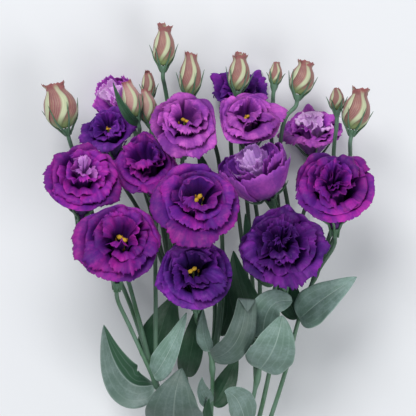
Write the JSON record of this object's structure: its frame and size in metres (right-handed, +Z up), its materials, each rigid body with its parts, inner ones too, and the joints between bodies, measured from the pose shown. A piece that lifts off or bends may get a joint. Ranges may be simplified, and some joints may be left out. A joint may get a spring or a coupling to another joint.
{
  "type": "lisianthus bunch",
  "caption": "Tied bunch of cut double lisianthus, lying down: ruffled open blooms, twisted buds, branching stems and broad clasping leaves.",
  "frame": {"origin": "under the middle of the bunch's bounding box, on the surface that it lies on", "axes": "+X across the bunch, +Y from the cut stem ends to the blooms, +Z up from the surface"},
  "size_m": [0.2892, 0.5216, 0.1637],
  "materials": {
    "petal_magenta": "soft matte petal with fine veins",
    "petal_violet": "soft matte petal with fine veins, darker",
    "petal_lilac": "soft matte petal, pale back",
    "stigma": "velvety",
    "bud": "satin furled petals with pale spiral edges",
    "stem": "waxy, faintly ribbed",
    "leaf_outer": "waxy with a grey bloom",
    "leaf_inner": "waxy, dark",
    "tie": "plain dry fibre"
  },
  "bodies": {
    "root": {"bloom_01": "petal_magenta", "bloom_02": "petal_violet", "bloom_03": "petal_violet", "bloom_03_centre": "stigma", "bloom_04": "petal_lilac", "bloom_04_centre": "stigma", "bloom_05": "petal_lilac", "bloom_05_centre": "stigma", "bloom_06": "petal_lilac", "bloom_07": "petal_magenta", "bloom_07_centre": "stigma", "bloom_08": "petal_lilac", "bloom_09": "petal_magenta", "bloom_10": "petal_magenta", "bloom_10_centre": "stigma", "bloom_11": "petal_violet", "bloom_11_centre": "stigma", "bloom_12": "petal_violet", "bloom_13": "petal_violet", "bloom_13_centre": "stigma", "bloom_14": "petal_lilac", "bud_01": "bud", "bud_02": "bud", "bud_03": "bud", "bud_04": "bud", "bud_05": "bud", "bud_06": "bud", "bud_07": "bud", "bud_08": "bud", "bud_09": "bud", "bud_10": "bud", "bud_11": "bud", "stem_1": "stem", "stem_2": "stem", "stem_3": "stem", "stem_4": "stem", "stem_5": "stem", "stem_6": "stem", "leaf_01": "leaf_outer", "leaf_02": "leaf_outer", "leaf_03": "leaf_inner", "leaf_04": "leaf_outer", "leaf_05": "leaf_outer", "leaf_06": "leaf_outer", "leaf_07": "leaf_outer", "leaf_08": "leaf_outer", "leaf_09": "leaf_outer", "leaf_10": "leaf_outer", "leaf_11": "leaf_outer", "leaf_12": "leaf_inner", "leaf_13": "leaf_inner", "leaf_14": "leaf_inner", "leaf_15": "leaf_inner", "leaf_16": "leaf_inner", "leaf_17": "leaf_inner", "leaf_18": "leaf_inner", "leaf_19": "leaf_inner", "leaf_20": "leaf_inner", "tie": "tie"}
  },
  "joints": []
}
